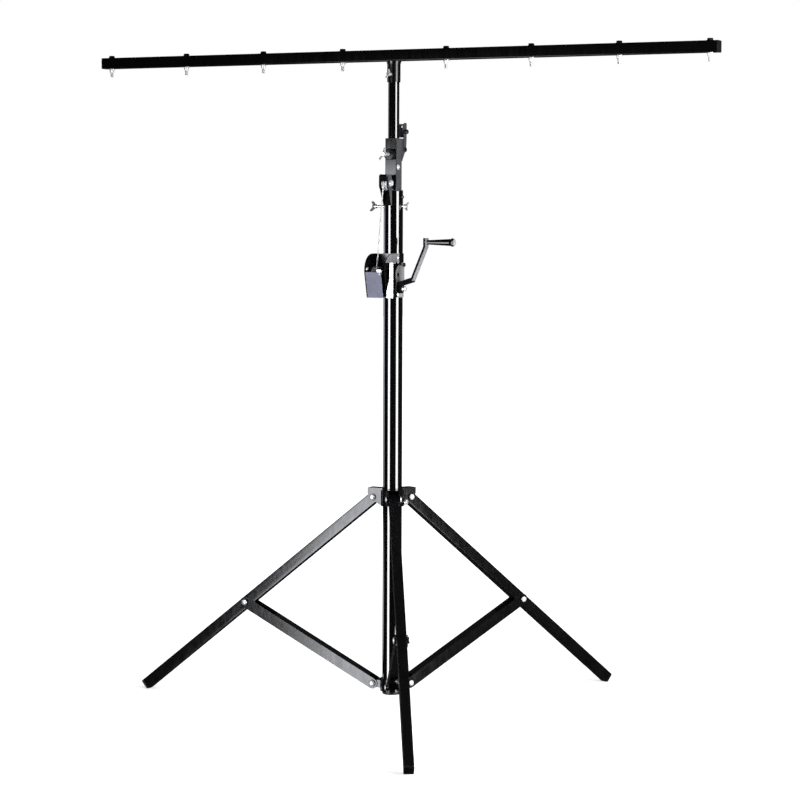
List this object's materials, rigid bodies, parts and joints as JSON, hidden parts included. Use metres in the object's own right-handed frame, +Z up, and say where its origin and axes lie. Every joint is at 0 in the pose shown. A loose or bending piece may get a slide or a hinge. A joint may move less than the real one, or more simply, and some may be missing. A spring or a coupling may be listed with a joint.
{
  "type": "crank light stand",
  "caption": "Folding tripod stand with a hand-cranked, cable-lifted telescopic mast and a lamp bar with wing-nut bolts",
  "frame": {"origin": "on the mast's axis at floor level, under the middle of the bounding box", "axes": "+Z up; +X along the lamp bar and the winch's shafts, toward the crank; the winch is on -Y"},
  "size_m": [2.1006, 1.6096, 2.0783],
  "materials": {
    "gloss_black_paint": "gloss",
    "satin_black_paint": "satin",
    "grey_blue_paint": "satin",
    "zinc_plated_steel": "bright",
    "chromed_steel": "mirror",
    "galvanised_cable": "stranded",
    "black_nylon": "moulded",
    "black_rubber": "smooth, glossy"
  },
  "bodies": {
    "mast": {"mast_tube": "gloss_black_paint", "mast_foot_plug": "black_nylon", "bottom_collar": "satin_black_paint", "mast_guide_bush": "black_nylon", "pulley_fork": "satin_black_paint", "pulley_axle_bolt": "zinc_plated_steel", "winch_frame": "satin_black_paint", "drum_cover": "grey_blue_paint", "winch_strap_upper": "satin_black_paint", "winch_strap_lower": "satin_black_paint", "gear_plate": "satin_black_paint", "gear_guard": "zinc_plated_steel", "drum_axle": "zinc_plated_steel", "lift_cable_outer": "galvanised_cable", "lift_cable_inner": "galvanised_cable"},
    "drum": {"cable_drum": "zinc_plated_steel", "drum_gear": "zinc_plated_steel", "drum_winding": "galvanised_cable"},
    "crank": {"pinion_shaft": "zinc_plated_steel", "crank_arm": "satin_black_paint", "crank_nut": "chromed_steel", "grip_rod": "chromed_steel"},
    "grip": {"crank_grip": "black_rubber"},
    "pulley": {"pulley_wheel": "zinc_plated_steel"},
    "lift": {"middle_tube": "gloss_black_paint", "middle_foot_bush": "black_nylon", "head_box": "satin_black_paint", "latch_bracket": "satin_black_paint", "latch_pivot_pin": "black_nylon"},
    "clamp_screw": {"head_clamp_screw": "chromed_steel"},
    "latch": {"latch_lever": "satin_black_paint", "latch_knob": "black_nylon"},
    "pole": {"pole_tube": "gloss_black_paint", "pole_foot_bush": "black_nylon"},
    "lamp_bar": {"bar_socket": "satin_black_paint", "lamp_bar": "satin_black_paint", "bar_cap_left": "black_nylon", "bar_cap_right": "black_nylon", "lamp_bolt_1": "zinc_plated_steel", "lamp_bolt_2": "zinc_plated_steel", "lamp_bolt_3": "zinc_plated_steel", "lamp_bolt_4": "zinc_plated_steel", "lamp_bolt_5": "zinc_plated_steel", "lamp_bolt_6": "zinc_plated_steel", "lamp_bolt_7": "zinc_plated_steel", "lamp_bolt_8": "zinc_plated_steel"},
    "bar_screw": {"socket_thumbscrew": "chromed_steel"},
    "lock_screw_left": {"mast_lock_screw_left": "chromed_steel"},
    "lock_screw_right": {"mast_lock_screw_right": "chromed_steel"},
    "collar": {"top_collar": "satin_black_paint"},
    "collar_screw": {"collar_lock_screw": "chromed_steel"},
    "leg_left": {"leg_left": "satin_black_paint", "foot_cap_left": "black_nylon"},
    "brace_left": {"brace_left": "satin_black_paint"},
    "leg_right": {"leg_right": "satin_black_paint", "foot_cap_right": "black_nylon"},
    "brace_right": {"brace_right": "satin_black_paint"},
    "leg_front": {"leg_front": "satin_black_paint", "foot_cap_front": "black_nylon"},
    "brace_front": {"brace_front": "satin_black_paint"}
  },
  "joints": [
    {"name": "mast_lift", "type": "slide", "parent": "mast", "child": "lift", "axis": [0, 0, 1], "range_m": [0, 1.1], "deforming": ["lift_cable_inner"]},
    {"name": "pole_slide", "type": "slide", "parent": "lift", "child": "pole", "axis": [0, 0, 1], "range_m": [-0.12, 0.85]},
    {"name": "bar_swivel", "type": "hinge", "parent": "pole", "child": "lamp_bar", "pos_m": [0, 0, 2], "axis": [0, 0, 1], "continuous": true},
    {"name": "drum_spin", "type": "hinge", "parent": "mast", "child": "drum", "pos_m": [0, -0.07, 1.377], "axis": [1, 0, 0], "range_deg": [0, 2813.7]},
    {"name": "crank_spin", "type": "hinge", "parent": "mast", "child": "crank", "pos_m": [0, -0.07, 1.3345], "axis": [1, 0, 0], "range_deg": [-8441, 0]},
    {"name": "pulley_spin", "type": "hinge", "parent": "mast", "child": "pulley", "pos_m": [-0.004, -0.0438, 1.659], "axis": [1, 0, 0], "range_deg": [0, 3183.2]},
    {"name": "grip_spin", "type": "hinge", "parent": "crank", "child": "grip", "pos_m": [0.2, -0.07, 1.4775], "axis": [1, 0, 0], "continuous": true},
    {"name": "latch_tilt", "type": "hinge", "parent": "lift", "child": "latch", "pos_m": [0, 0.036, 1.764], "axis": [1, 0, 0], "range_deg": [-14, 8]},
    {"name": "clamp_screw_turn", "type": "hinge", "parent": "lift", "child": "clamp_screw", "pos_m": [0, -0.04, 1.748], "axis": [0, -1, 0], "range_deg": [0, 720]},
    {"name": "bar_screw_turn", "type": "hinge", "parent": "lamp_bar", "child": "bar_screw", "pos_m": [0, -0.03, 1.995], "axis": [0, -1, 0], "range_deg": [0, 720]},
    {"name": "lock_screw_left_turn", "type": "hinge", "parent": "mast", "child": "lock_screw_left", "pos_m": [-0.05, 0, 1.588], "axis": [-1, 0, 0], "range_deg": [0, 720]},
    {"name": "lock_screw_right_turn", "type": "hinge", "parent": "mast", "child": "lock_screw_right", "pos_m": [0.04, 0, 1.588], "axis": [1, 0, 0], "range_deg": [0, 720]},
    {"name": "collar_slide", "type": "slide", "parent": "mast", "child": "collar", "axis": [0, 0, 1], "range_m": [0, 0.5004]},
    {"name": "collar_screw_turn", "type": "hinge", "parent": "collar", "child": "collar_screw", "pos_m": [0.045, 0, 0.666], "axis": [1, 0, 0], "range_deg": [0, 720]},
    {"name": "leg_fold_left", "type": "hinge", "parent": "collar", "child": "leg_left", "pos_m": [-0.06, 0, 0.678], "axis": [0, -1, 0], "range_deg": [0, 47.46]},
    {"name": "brace_fold_left", "type": "hinge", "parent": "mast", "child": "brace_left", "pos_m": [-0.06, 0, 0.087], "axis": [0, 1, 0], "range_deg": [0, 59]},
    {"name": "leg_fold_right", "type": "hinge", "parent": "collar", "child": "leg_right", "pos_m": [0.02863, 0.05273, 0.678], "axis": [-0.8788, 0.4772, 0], "range_deg": [0, 47.46]},
    {"name": "brace_fold_right", "type": "hinge", "parent": "mast", "child": "brace_right", "pos_m": [0.02863, 0.05273, 0.087], "axis": [0.8788, -0.4772, 0], "range_deg": [0, 59]},
    {"name": "leg_fold_front", "type": "hinge", "parent": "collar", "child": "leg_front", "pos_m": [0.02863, -0.05273, 0.678], "axis": [0.8788, 0.4772, 0], "range_deg": [0, 47.46]},
    {"name": "brace_fold_front", "type": "hinge", "parent": "mast", "child": "brace_front", "pos_m": [0.02863, -0.05273, 0.087], "axis": [-0.8788, -0.4772, 0], "range_deg": [0, 59]}
  ],
  "couplings": [
    {"joint": "drum_spin", "follows": "mast_lift", "rad_per_m": 44.643},
    {"joint": "crank_spin", "follows": "mast_lift", "rad_per_m": -133.93},
    {"joint": "pulley_spin", "follows": "mast_lift", "rad_per_m": 50.505},
    {"joint": "leg_fold_left", "follows": "collar_slide", "rad_per_m": 1.6553},
    {"joint": "brace_fold_left", "follows": "collar_slide", "rad_per_m": 2.0578},
    {"joint": "leg_fold_right", "follows": "collar_slide", "rad_per_m": 1.6553},
    {"joint": "brace_fold_right", "follows": "collar_slide", "rad_per_m": 2.0578},
    {"joint": "leg_fold_front", "follows": "collar_slide", "rad_per_m": 1.6553},
    {"joint": "brace_fold_front", "follows": "collar_slide", "rad_per_m": 2.0578}
  ]
}
